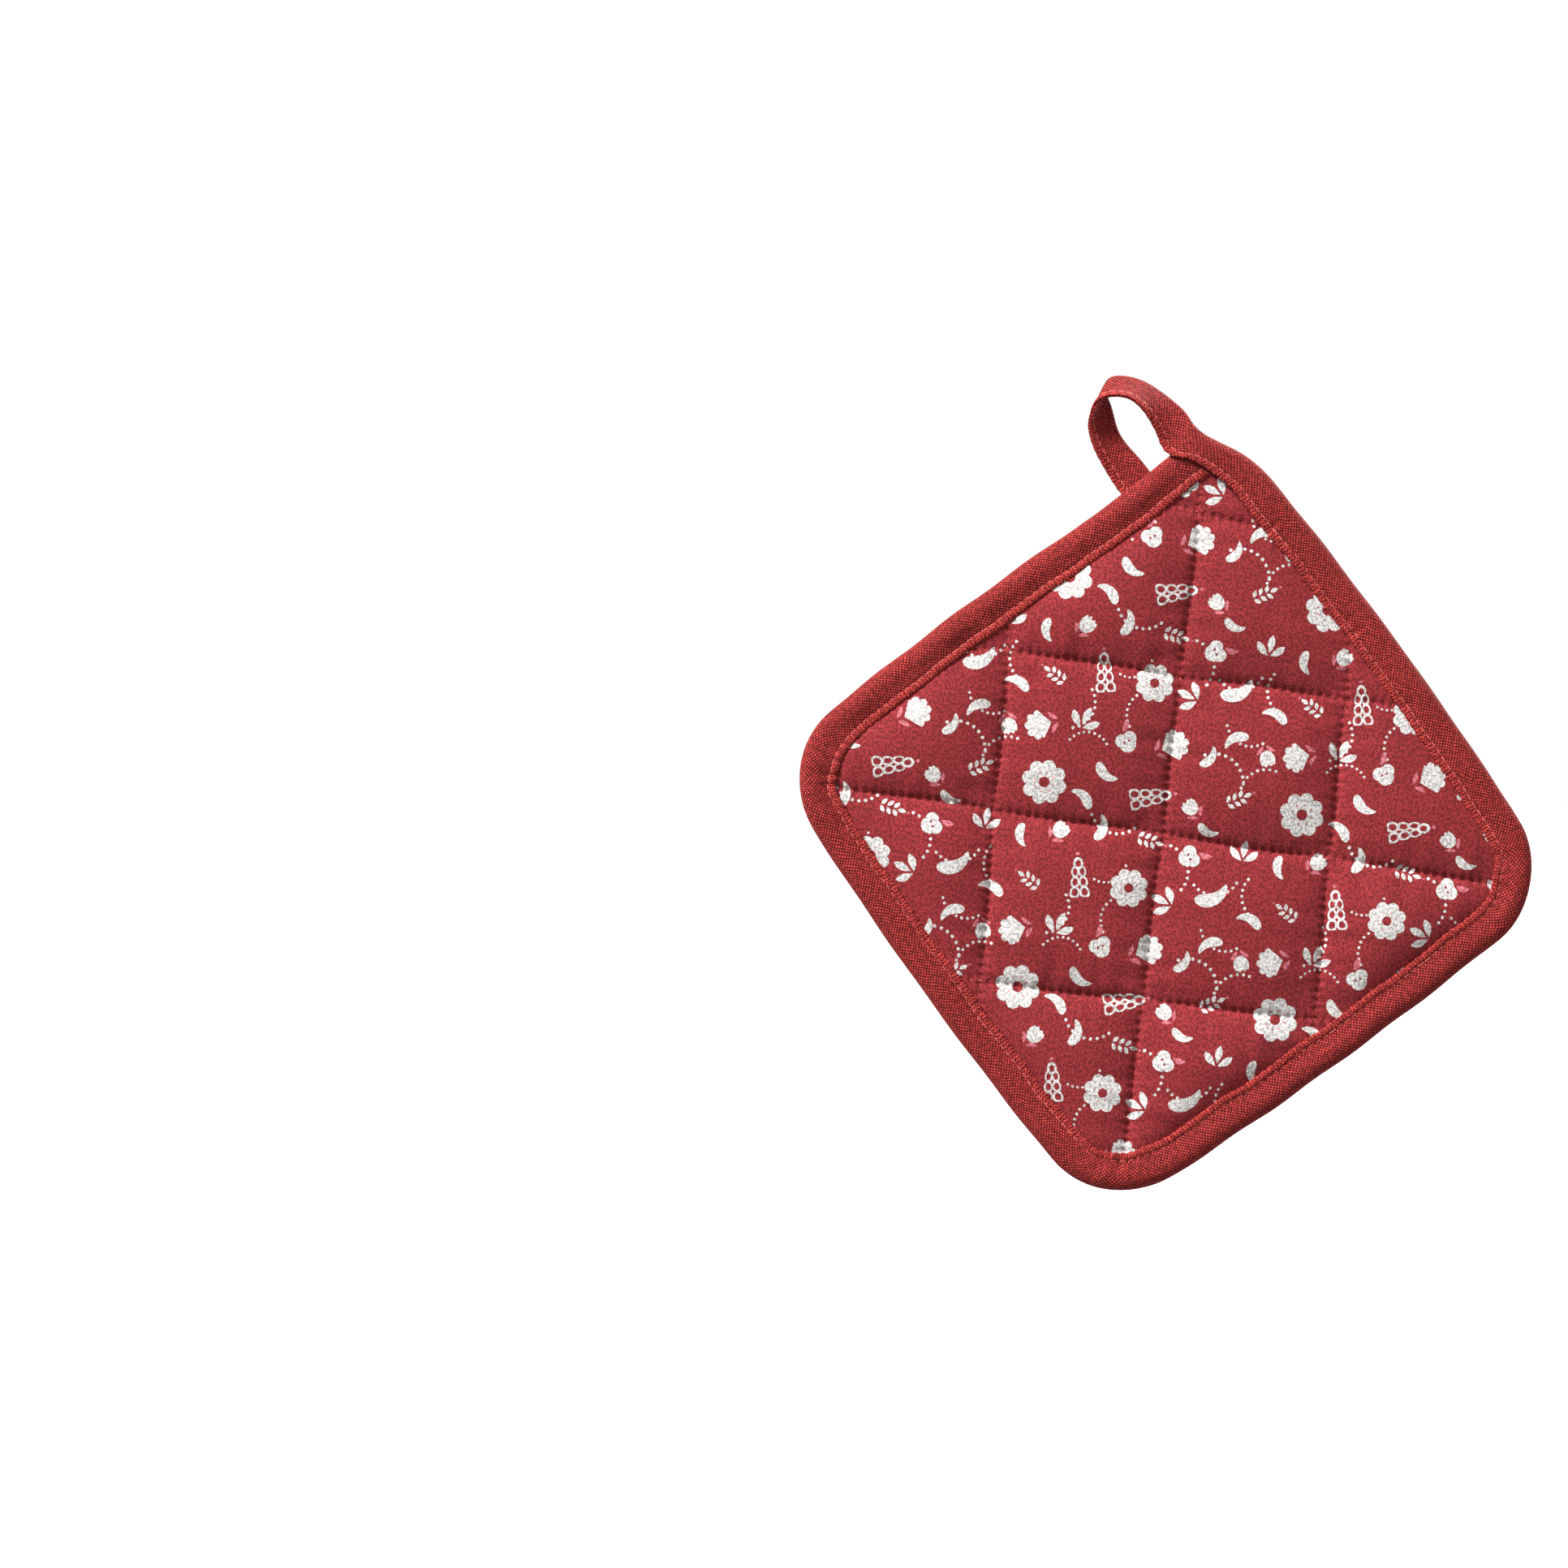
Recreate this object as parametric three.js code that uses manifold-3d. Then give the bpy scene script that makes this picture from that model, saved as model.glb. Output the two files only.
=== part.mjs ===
// A quilted square pot holder that hangs by a loop of its own edge tape.
// Units are millimetres. +Z is up, the printed front faces -Y, and X runs to the right.
// The origin is the hook seat: the inside of the top of the hanging loop, at mid thickness of the pad.

import * as THREE from 'three';
import { mergeVertices } from 'three/addons/utils/BufferGeometryUtils.js';
import Module from 'manifold-3d';

const wasm = await Module();
wasm.setup();
const SAME_SPOT = 1e-4;

// Pad outline, in the square's own frame: A runs up to the right and B up to the left.
const PAD_SIDE = 200;
const EDGE_BULGE = 3.7;
const HALF = PAD_SIDE / 2 - EDGE_BULGE;
const CORNER_RADIUS = 27.7;
const CORNER_STEPS = 8;
const SIDE_STEPS = 6;

// The pad as it hangs: its centre below the hook seat, and how far it leans.
const PAD_CENTRE = new THREE.Vector3(14.2, 0, -145.7);
const QUILT_LEAN = THREE.MathUtils.degToRad(7.3);
const SQUARE_TURN = THREE.MathUtils.degToRad(43.2);

// Quilting: a square grid of seams, in the pad's frame (X across, Z up).
const QUILT_PITCH = 55.5;
const CROSS_SEAM = -4;
const LONG_SEAM = -0.5;
const CROSS_SEAMS = { top: 2, upper: 1, lower: -1 };
const LONG_SEAMS = { left: -1, centre: 0, right: 1 };
const FACES = { front: -1, back: 1 };
const CELL_STEPS = 4;
const CELLS_EACH_WAY = 3;

// Layers, measured from mid thickness.
const SEAM_HALF = 1.8;
const CELL_CROWN = 3.2;
const CROWN_FULLNESS = 0.7;
const CLOTH = 0.9;
const GAP = 0.3;
const LAYER_INSET = 1.8;
const CROWN_START = 22;
const CROWN_RISE = 12;

// Edge binding: a tape folded over the edge.
const TAPE = 1.2;
const BINDING_HALF = SEAM_HALF + GAP + TAPE;
const BINDING_FRONT = 13;
const BINDING_BACK = 12;
const BINDING_ROUND = 2.6;
const BINDING_ROUND_STEPS = 3;
const RUN_OUT = [[74, 100.5], [87.2, 100.5], [90.3, 94.9], [94.6, 86.7], [98, 77.3], [90, 72], [76, 90]];
const RUN_OUT_Y = [-1.7, -0.3];

// Centre fold: the two halves keep clear of each other up to this angle either way.
const FOLD_SPACE = THREE.MathUtils.degToRad(138);
const FOLD_TAN = Math.tan((Math.PI - FOLD_SPACE) / 2);
const FOLD_CLEAR = 1;
const FOLD_DEPTH = 20;

// Sewing thread.
const THREAD = 0.5;
const THREAD_SIDES = 4;
const THREAD_Y = SEAM_HALF + GAP + THREAD / 2;
const OVER_Y = THREAD_Y + THREAD + GAP;
const OVER_REACH = 6;
const OVER_TOP = 2.4;
const THREAD_STEP = 3;
const THREAD_BEND = 0.3;
const SEAM_END = 15;
const FOLD_REACH = 8;
const TOPSTITCH_INSET = 11.2;
const TOPSTITCH_Y = BINDING_HALF + GAP + THREAD / 2;

// Hanging loop: the two edges of the tape, from the corner over the top to the back.
const LOOP_TAPE = 1.4;
const LOOP_STEPS = 36;
const LOOP_NEAR = [
  [12.7, -1, -17.7], [10.5, -3, -12.4], [6.3, -5.2, -5.5], [1.4, -5.8, -1.4], [-4.7, -4.9, -0.6],
  [-9.4, -2.8, -2.5], [-11.4, -0.7, -7.4], [-11.8, 0.8, -11.8], [-9.6, 1.9, -19], [-3.5, 4.4, -29.5],
];
const LOOP_FAR = [
  [23, -1, -10.3], [20.7, 1, -5.5], [15.2, 2.9, -0.6], [7.7, 3.9, 4.4], [1.1, 4.3, 6.5],
  [-3.9, 5.2, 6.1], [-5.8, 6.2, 1.9], [-3.9, 6.8, -3.6], [-0.8, 6.5, -13.2], [6.5, 4.4, -22.3],
];

// Loop end on the back of the binding, in the square's frame, and the thread that tacks it.
const LOOP_END = [[53.8, 97.6], [66.2, 97.6], [66.2, 88.3], [53.8, 88.3]];
const LOOP_END_Y = BINDING_HALF + GAP;
const TACK = [[55.8, 94.4], [64.2, 94.4], [64.2, 90.2], [55.8, 90.2]];
const TACK_Y = LOOP_END_Y + LOOP_TAPE + GAP + THREAD / 2;

const MATERIALS = {
  print: new THREE.MeshStandardMaterial({ color: 0x9e2a33, roughness: 0.9, metalness: 0 }),
  plain: new THREE.MeshStandardMaterial({ color: 0xb43a32, roughness: 0.9, metalness: 0 }),
  tape: new THREE.MeshStandardMaterial({ color: 0xa82f2b, roughness: 0.8, metalness: 0 }),
  thread: new THREE.MeshStandardMaterial({ color: 0xc24b43, roughness: 0.6, metalness: 0 }),
  padding: new THREE.MeshStandardMaterial({ color: 0xe9e4da, roughness: 1, metalness: 0 }),
};

function toSolid(geometry) {
  const bare = new THREE.BufferGeometry();
  bare.setAttribute('position', geometry.getAttribute('position'));
  bare.setIndex(geometry.getIndex());
  const merged = mergeVertices(bare, SAME_SPOT);
  const vertProperties = new Float32Array(merged.getAttribute('position').array);
  const triVerts = new Uint32Array(merged.getIndex().array);
  return new wasm.Manifold(new wasm.Mesh({ numProp: 3, vertProperties, triVerts }));
}

function toGeometry(solid) {
  const mesh = solid.getMesh();
  const geometry = new THREE.BufferGeometry();
  geometry.setAttribute('position', new THREE.BufferAttribute(mesh.vertProperties, 3));
  geometry.setIndex(new THREE.BufferAttribute(mesh.triVerts, 1));
  geometry.computeVertexNormals();
  return geometry;
}

function named(name, solid, material) {
  const mesh = new THREE.Mesh(toGeometry(solid), MATERIALS[material]);
  mesh.name = name;
  return mesh;
}

// From the square's frame to the pad's frame.
function fromSquare([a, b]) {
  return new THREE.Vector2(a, b).rotateAround(new THREE.Vector2(), SQUARE_TURN);
}

function bulged([a, b]) {
  const swell = (along) => 1 + (EDGE_BULGE / HALF) * (1 - (along / HALF) ** 2);
  return [a * swell(b), b * swell(a)];
}

// The rounded square, a given distance inside its edge.
function outline(inset) {
  const centre = HALF - CORNER_RADIUS;
  const radius = CORNER_RADIUS - inset;
  const points = [];
  for (let corner = 0; corner < 4; corner += 1) {
    const turn = (corner * Math.PI) / 2;
    const place = (x, z) => {
      const spot = new THREE.Vector2(x, z).rotateAround(new THREE.Vector2(), turn);
      points.push(fromSquare(bulged([spot.x, spot.y])));
    };
    for (let step = 1; step < SIDE_STEPS; step += 1) {
      place(centre + radius, -centre + (2 * centre * step) / SIDE_STEPS);
    }
    for (let step = 0; step <= CORNER_STEPS; step += 1) {
      const angle = (step / CORNER_STEPS) * (Math.PI / 2);
      place(centre + radius * Math.cos(angle), centre + radius * Math.sin(angle));
    }
  }
  return points;
}

// A straight-sided solid with its outline in X and Z, from one depth to another.
function prism(points, yFront, yBack, bevel = {}) {
  const settings = { depth: yBack - yFront, bevelEnabled: false, ...bevel };
  const geometry = new THREE.ExtrudeGeometry(new THREE.Shape(points), settings);
  geometry.rotateX(Math.PI / 2);
  geometry.translate(0, yBack, 0);
  return toSolid(geometry);
}

// How far a point of the pad's frame is inside the edge.
function edgeDistance(x, z) {
  const spot = new THREE.Vector2(x, z).rotateAround(new THREE.Vector2(), -SQUARE_TURN);
  const across = Math.abs(spot.x) - (HALF - CORNER_RADIUS);
  const up = Math.abs(spot.y) - (HALF - CORNER_RADIUS);
  const outside = Math.hypot(Math.max(across, 0), Math.max(up, 0));
  return CORNER_RADIUS - outside - Math.min(Math.max(across, up), 0);
}

// Half the pad's thickness: thin at every seam and at the edge, crowned in every cell.
function padHalf(x, z) {
  const swell = (along, seam) => {
    return Math.abs(Math.sin((Math.PI * (along - seam)) / QUILT_PITCH)) ** CROWN_FULLNESS;
  };
  const inside = THREE.MathUtils.smoothstep(edgeDistance(x, z), CROWN_START, CROWN_START + CROWN_RISE);
  return SEAM_HALF + CELL_CROWN * swell(x, LONG_SEAM) * swell(z, CROSS_SEAM) * inside;
}

// The quilted block from face to face, each face drawn in by an allowance.
function quiltedBlock(less) {
  const size = 2 * CELLS_EACH_WAY * QUILT_PITCH;
  const steps = 2 * CELLS_EACH_WAY * CELL_STEPS;
  const geometry = new THREE.BoxGeometry(size, 1, size, steps, 1, steps);
  geometry.translate(LONG_SEAM, 0, CROSS_SEAM);
  const spots = geometry.getAttribute('position');
  for (let index = 0; index < spots.count; index += 1) {
    const half = padHalf(spots.getX(index), spots.getZ(index)) - less;
    spots.setY(index, Math.sign(spots.getY(index)) * half);
  }
  return toSolid(geometry);
}

// The space that one half of the pad may fill, tapered to the centre fold so that it can close.
function foldSide(side) {
  const taper = FOLD_DEPTH / FOLD_TAN;
  const section = [
    [FOLD_CLEAR, -FOLD_CLEAR * FOLD_TAN], [taper, -FOLD_DEPTH], [PAD_SIDE, -FOLD_DEPTH],
    [PAD_SIDE, FOLD_DEPTH], [taper, FOLD_DEPTH], [FOLD_CLEAR, FOLD_CLEAR * FOLD_TAN],
  ].map(([away, depth]) => new THREE.Vector2(depth, side * away));
  const settings = { depth: 2 * PAD_SIDE, bevelEnabled: false };
  const geometry = new THREE.ExtrudeGeometry(new THREE.Shape(section), settings);
  const depthAxis = new THREE.Vector3(0, 1, 0);
  const upAxis = new THREE.Vector3(0, 0, 1);
  const acrossAxis = new THREE.Vector3(1, 0, 0);
  geometry.applyMatrix4(new THREE.Matrix4().makeBasis(depthAxis, upAxis, acrossAxis));
  geometry.translate(-PAD_SIDE, 0, CROSS_SEAM);
  return toSolid(geometry);
}

// A tape folded over the edge, with a lip at the top corner where it runs out towards the loop.
function binding() {
  const round = {
    bevelEnabled: true,
    bevelSize: BINDING_ROUND,
    bevelThickness: BINDING_ROUND,
    bevelSegments: BINDING_ROUND_STEPS,
  };
  const flat = BINDING_HALF - BINDING_ROUND;
  const cavity = SEAM_HALF + GAP;
  return prism(outline(BINDING_ROUND), -flat, flat, round)
    .add(prism(RUN_OUT.map(fromSquare), ...RUN_OUT_Y))
    .subtract(prism(outline(TAPE), -cavity, cavity))
    .subtract(prism(outline(BINDING_FRONT), -FOLD_DEPTH, 0))
    .subtract(prism(outline(BINDING_BACK), 0, FOLD_DEPTH));
}

// The stitching along the inner edge of the binding, on one face.
function topstitch(face) {
  const inner = face * TOPSTITCH_Y - THREAD / 2;
  const outside = prism(outline(TOPSTITCH_INSET - THREAD / 2), inner, inner + THREAD);
  return outside.subtract(prism(outline(TOPSTITCH_INSET + THREAD / 2), -FOLD_DEPTH, FOLD_DEPTH));
}

// A thread through the given points, rounded where it bends.
function threadAlong(points) {
  const section = [];
  for (let side = 0; side < THREAD_SIDES; side += 1) {
    const angle = (side / THREAD_SIDES) * 2 * Math.PI;
    section.push(new THREE.Vector2(Math.cos(angle), Math.sin(angle)).multiplyScalar(THREAD / 2));
  }
  const path = new THREE.CatmullRomCurve3(points, false, 'catmullrom', THREAD_BEND);
  const steps = points.length === 2 ? 1 : Math.ceil(path.getLength() / THREAD_STEP);
  const settings = { steps, bevelEnabled: false, extrudePath: path };
  return toSolid(new THREE.ExtrudeGeometry(new THREE.Shape(section), settings));
}

// How far a seam runs from a start before it reaches the binding.
function seamReach(spotAt, direction) {
  let along = 0;
  while (edgeDistance(...spotAt(direction * along)) > SEAM_END) {
    along += 1;
  }
  return direction * along;
}

// A seam that crosses the pad from left to right, at one depth.
function crossThread(row, depth) {
  const z = CROSS_SEAM + row * QUILT_PITCH;
  const spotAt = (along) => [LONG_SEAM + along, z];
  const ends = [-1, 1].map((direction) => LONG_SEAM + seamReach(spotAt, direction));
  return threadAlong(ends.map((x) => new THREE.Vector3(x, depth, z)));
}

// A seam along half of the pad, on one face. It rises over the cross seams that it meets.
function longThread(column, side, face) {
  const x = LONG_SEAM + column * QUILT_PITCH;
  const spotAt = (along) => [x, CROSS_SEAM + along];
  const end = Math.abs(seamReach(spotAt, side));
  const points = [];
  const place = (along, depth) => {
    points.push(new THREE.Vector3(x, face * depth, CROSS_SEAM + side * along));
  };
  let depth = THREAD_Y;
  place(FOLD_REACH, depth);
  for (let crossing = QUILT_PITCH; crossing < end; crossing += QUILT_PITCH) {
    const comesDown = crossing + OVER_REACH < end;
    place(crossing - OVER_REACH, THREAD_Y);
    place(crossing - OVER_TOP, OVER_Y);
    place(comesDown ? crossing + OVER_TOP : end, OVER_Y);
    depth = comesDown ? THREAD_Y : OVER_Y;
    if (comesDown) {
      place(crossing + OVER_REACH, THREAD_Y);
    }
  }
  if (depth === THREAD_Y) {
    place(end, THREAD_Y);
  }
  return threadAlong(points);
}

// The free part of the tape: a strip spanned between its near and far edges.
function hangingLoop() {
  const [near, far] = [LOOP_NEAR, LOOP_FAR].map((edge) => {
    return new THREE.CatmullRomCurve3(edge.map((spot) => new THREE.Vector3(...spot)));
  });
  const geometry = new THREE.BoxGeometry(1, 1, 1, 1, 1, LOOP_STEPS);
  const spots = geometry.getAttribute('position');
  for (let index = 0; index < spots.count; index += 1) {
    const along = spots.getZ(index) + 0.5;
    const share = spots.getX(index) + 0.5;
    const across = far.getPoint(along).sub(near.getPoint(along));
    const forward = near.getTangent(along).lerp(far.getTangent(along), 0.5);
    const normal = forward.cross(across).normalize();
    const spot = near.getPoint(along).addScaledVector(across, share);
    spot.addScaledVector(normal, spots.getY(index) * LOOP_TAPE);
    spots.setXYZ(index, spot.x, spot.y, spot.z);
  }
  return toSolid(geometry);
}

function addHalves(pad, name, solid, material) {
  pad.add(named(`${name}_upper`, solid.intersect(UPPER), material));
  pad.add(named(`${name}_lower`, solid.intersect(LOWER), material));
}

function addLayers(pad) {
  const cloth = quiltedBlock(0).subtract(quiltedBlock(CLOTH));
  const padding = quiltedBlock(CLOTH + GAP);
  const edge = outline(LAYER_INSET);
  addHalves(pad, 'front_panel', cloth.intersect(prism(edge, -FOLD_DEPTH, 0)), 'print');
  addHalves(pad, 'batting', padding.intersect(prism(edge, -FOLD_DEPTH, FOLD_DEPTH)), 'padding');
  addHalves(pad, 'back_panel', cloth.intersect(prism(edge, 0, FOLD_DEPTH)), 'plain');
}

function addQuilting(pad) {
  for (const [face, side] of Object.entries(FACES)) {
    for (const [place, row] of Object.entries(CROSS_SEAMS)) {
      pad.add(named(`quilt_cross_${place}_${face}`, crossThread(row, side * THREAD_Y), 'thread'));
    }
    for (const [place, column] of Object.entries(LONG_SEAMS)) {
      pad.add(named(`quilt_long_${place}_${face}_upper`, longThread(column, 1, side), 'thread'));
      pad.add(named(`quilt_long_${place}_${face}_lower`, longThread(column, -1, side), 'thread'));
    }
    addHalves(pad, `binding_stitch_${face}`, topstitch(side), 'thread');
  }
  pad.add(named('quilt_cross_fold', crossThread(0, 0), 'thread'));
}

function addLoopEnd(pad) {
  const tab = prism(LOOP_END.map(fromSquare), LOOP_END_Y, LOOP_END_Y + LOOP_TAPE);
  const tack = TACK.map(fromSquare).map((spot) => new THREE.Vector3(spot.x, TACK_Y, spot.y));
  pad.add(named('loop_end', tab, 'tape'));
  pad.add(named('loop_tack_stitch', threadAlong(tack), 'thread'));
}

const UPPER = foldSide(1);
const LOWER = foldSide(-1);

const pad = new THREE.Group();
pad.position.copy(PAD_CENTRE);
pad.rotation.y = QUILT_LEAN;
addLayers(pad);
addHalves(pad, 'edge_binding', binding(), 'tape');
addQuilting(pad);
addLoopEnd(pad);

const holder = new THREE.Group();
holder.add(named('hanging_loop', hangingLoop(), 'tape'));
holder.add(pad);

export default holder;
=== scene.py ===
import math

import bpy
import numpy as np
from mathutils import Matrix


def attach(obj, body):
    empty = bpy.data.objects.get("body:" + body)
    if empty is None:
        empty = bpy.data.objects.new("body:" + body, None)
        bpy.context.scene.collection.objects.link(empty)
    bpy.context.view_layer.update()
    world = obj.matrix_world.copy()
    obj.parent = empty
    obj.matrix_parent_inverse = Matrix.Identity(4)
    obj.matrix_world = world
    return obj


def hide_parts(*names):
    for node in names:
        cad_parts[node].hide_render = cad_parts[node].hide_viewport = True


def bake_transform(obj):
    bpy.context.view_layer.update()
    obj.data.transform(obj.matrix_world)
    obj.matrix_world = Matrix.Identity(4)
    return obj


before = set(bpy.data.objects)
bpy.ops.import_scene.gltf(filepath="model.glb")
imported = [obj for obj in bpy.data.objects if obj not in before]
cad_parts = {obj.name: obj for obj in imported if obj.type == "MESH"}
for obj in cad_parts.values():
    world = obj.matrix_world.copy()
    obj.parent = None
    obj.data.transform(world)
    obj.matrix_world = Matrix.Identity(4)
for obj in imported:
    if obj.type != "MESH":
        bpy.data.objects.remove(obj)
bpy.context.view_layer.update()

# %% [markdown]
# # A quilted pot holder
# A pot holder is a small quilt: a printed cloth in front, a plain cloth behind, soft padding in
# between, seams that hold the three together, a tape folded over the edge, and a loop of the same
# tape to hang it by. This lesson makes each piece in turn. The imported model gives the bodies and
# the joints.

MM = 0.001

# %% [markdown]
# ## The lie of the pad
# The pad hangs from one corner, a little off straight, and its quilting leans by a slightly
# different angle. So there are two flat frames. The square frame has its A axis up to the right and
# its B axis up to the left, along the sides. The quilt frame has its axes along the seams. All
# lengths in these cells are millimetres, and they become metres when a mesh is made.

# %% Driving sizes and the two flat frames
PAD_SIDE, EDGE_BULGE, CORNER_RADIUS = 200.0, 3.7, 27.7
HALF = PAD_SIDE / 2 - EDGE_BULGE
PAD_CENTRE = np.array([14.2, 0.0, -145.7])
QUILT_LEAN, SQUARE_TURN = math.radians(7.3), math.radians(43.2)
SQUARE_LEAN = SQUARE_TURN - QUILT_LEAN


def turned(first, second, angle):
    """Two flat coordinates turned anticlockwise."""
    c, s = math.cos(angle), math.sin(angle)
    return first * c - second * s, first * s + second * c


def world_from_square(a, b, depth):
    """Points of the square frame, with their depth from mid thickness, in the model's frame."""
    x, z = turned(np.asarray(a, float), np.asarray(b, float), SQUARE_LEAN)
    return np.stack([x, np.broadcast_to(depth, x.shape), z], -1) + PAD_CENTRE


def square_from_quilt(x, z):
    return turned(np.asarray(x, float), np.asarray(z, float), -SQUARE_TURN)


def edge_distance(a, b):
    """How far a point of the square frame is inside the rounded, slightly bulged edge."""
    swell_a = 1 + EDGE_BULGE / HALF * (1 - np.clip(np.abs(b) / HALF, 0, 1) ** 2)
    swell_b = 1 + EDGE_BULGE / HALF * (1 - np.clip(np.abs(a) / HALF, 0, 1) ** 2)
    qa = np.abs(a) / swell_a - (HALF - CORNER_RADIUS)
    qb = np.abs(b) / swell_b - (HALF - CORNER_RADIUS)
    outside = np.hypot(np.maximum(qa, 0), np.maximum(qb, 0))
    return CORNER_RADIUS - outside - np.minimum(np.maximum(qa, qb), 0)


def smooth(value, low, high):
    t = np.clip((value - low) / (high - low), 0, 1)
    return t * t * (3 - 2 * t)


to_edge = float(edge_distance(np.array(0.0), np.array(0.0)))
print("pad", PAD_SIDE, "mm wide; its middle is about", round(to_edge), "mm inside the edge")

# %% [markdown]
# ## The camera
# The view is square on to the front, from two metres with a long lens, so the pad's outline is
# nearly free of perspective. The pad hangs in the right half of the frame.

# %% Camera
VIEW_WIDTH, LENS, SENSOR = 532.3, 135.0, 36.0
VIEW_CENTRE = (-115.4, -132.0)
camera_data = bpy.data.cameras.new("front_view")
camera_data.lens, camera_data.sensor_width = LENS, SENSOR
camera = bpy.data.objects.new("front_view", camera_data)
camera.location = (VIEW_CENTRE[0] * MM, -VIEW_WIDTH * MM * LENS / SENSOR, VIEW_CENTRE[1] * MM)
camera.rotation_euler = (math.pi / 2, 0, 0)
bpy.context.scene.collection.objects.link(camera)
bpy.context.scene.camera = camera
print("camera", [round(v, 3) for v in camera.location])

# %% [markdown]
# ## Making a mesh from rows of points
# Most pieces here are sheets of cloth: rows of points that a formula places. One helper turns a
# grid of points into faces, and another makes the object, with a UV map that holds the cloth's own
# lengths. Every pattern reads that map, so weave and print stay on the cloth when it bends.

# %% Mesh helpers
def grid_faces(rows, columns, first=0, flip=False):
    """The quads between neighbouring rows of points, as an array of four indices each."""
    r, c = np.meshgrid(np.arange(rows - 1), np.arange(columns - 1), indexing="ij")
    corner = first + r * columns + c
    quads = np.stack([corner, corner + 1, corner + columns + 1, corner + columns], -1).reshape(-1, 4)
    return quads[:, ::-1] if flip else quads


def make_piece(name, points, faces, lengths, material):
    """An object from points and their cloth lengths in millimetres, at the origin."""
    mesh = bpy.data.meshes.new(name)
    mesh.from_pydata((points * MM).tolist(), [], faces.tolist())
    mesh.update()
    uv = mesh.uv_layers.new(name="cloth")
    corner = np.empty(len(mesh.loops), int)
    mesh.loops.foreach_get("vertex_index", corner)
    uv.data.foreach_set("uv", (lengths[corner] * MM).astype(np.float32).ravel())
    mesh.polygons.foreach_set("use_smooth", np.ones(len(mesh.polygons), bool))
    mesh.materials.append(material)
    piece = bpy.data.objects.new(name, mesh)
    bpy.context.scene.collection.objects.link(piece)
    return piece


def waver(along, seed, wavelength):
    """A smooth random wave along a length, mostly between -1 and 1, the same on every run."""
    draw = np.random.default_rng(seed)
    waves, gain = 5, 1.6
    total = np.zeros_like(along, float)
    for _ in range(waves):
        share = wavelength * draw.uniform(0.7, 1.6)
        total += np.sin(2 * np.pi * (along / share + draw.uniform())) / waves
    return total * gain


def spline(knots, steps):
    """A smooth curve through rows of numbers, with the same number of steps between knots."""
    knots = np.asarray(knots, float)
    rows = np.vstack([2 * knots[0] - knots[1], knots, 2 * knots[-1] - knots[-2]])
    t = (np.arange(steps) / steps)[:, None]
    parts = []
    for index in range(len(knots) - 1):
        p0, p1, p2, p3 = rows[index:index + 4]
        parts.append(0.5 * (2 * p1 + (p2 - p0) * t + (2 * p0 - 5 * p1 + 4 * p2 - p3) * t ** 2
                            + (3 * p1 - p0 - 3 * p2 + p3) * t ** 3))
    return np.vstack(parts + [knots[-1:]])


def run_length(points):
    """The length along a line of points, at each point."""
    return np.concatenate([[0], np.cumsum(np.linalg.norm(np.diff(points, axis=0), axis=-1))])


def at_lengths(values, lengths, wanted):
    """Values along a line, read at the wanted lengths."""
    values = np.asarray(values, float)
    flat = values.reshape(len(values), -1)
    read = [np.interp(wanted, lengths, column) for column in flat.T]
    return np.stack(read, -1).reshape(-1, *values.shape[1:])


print("helpers ready")

# %% [markdown]
# ## How the quilt swells
# Each seam pulls the two cloths together, and the padding pushes them apart in between. Beside a
# seam the cloth rises in a sharp crease and then in a round crown, so each seam gets a factor that
# is nought on the seam and one far away, and the factors are multiplied. The line where the edge
# tape is sewn gets a simpler factor. Small puckers run across the seams, because the thread is
# tighter than the cloth. A seam is given by its place at the middle of the pad and its slope.

# %% Seams and the height of the cloth
CROSS_SEAMS = {
    "top": (106.1, -0.12), "upper": (50.6, -0.012), "fold": (-3.6, -0.018), "lower": (-60.2, 0.015)}
LONG_SEAMS = {"left": (-58.2, -0.045), "centre": (-0.9, -0.010), "right": (56.4, -0.032)}
SEAM_HALF, SWELL, EDGE_REACH = 1.5, 4.7, 7.0
CREASE_SHARE, CREASE_REACH, CROWN_REACH = 0.26, 1.1, 23.0
TOPSTITCH, STITCH = 11.0, 3.1
PUCKER, PUCKER_REACH = 0.38, 1.2
WRINKLE, WRINKLE_REACH, WRINKLE_WAVE = 0.12, 4.5, 9.0
SEAM_WAVER, UNEVEN = 0.45, 0.22
FRONT_SEED, BACK_SEED = 100, 200


def seam_line(seam, along):
    """How far a seam lies from its axis, at a length along it."""
    place, slope = seam
    return place + slope * along + SEAM_WAVER * waver(along, int(abs(place)) + 3, 60)


def rise(distance, reach):
    return 1 - np.exp(-np.abs(distance) / reach)


def seam_rise(distance):
    """A sharp crease at the seam, and a round crown away from it."""
    crown = 1 - (1 - np.minimum(np.abs(distance) / CROWN_REACH, 1)) ** 2
    return CREASE_SHARE * rise(distance, CREASE_REACH) + (1 - CREASE_SHARE) * crown


def pucker(distance, along, seed):
    """Small ridges that start at a seam and fade away from it."""
    away = np.abs(distance)
    side = np.where(distance > 0, 0, 40)
    fine = -np.cos(2 * np.pi * (along / STITCH)) * np.exp(-away / PUCKER_REACH) * PUCKER
    broad = waver(along + side, seed, WRINKLE_WAVE) * away * np.exp(-away / WRINKLE_REACH) * WRINKLE
    return fine + broad


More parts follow.
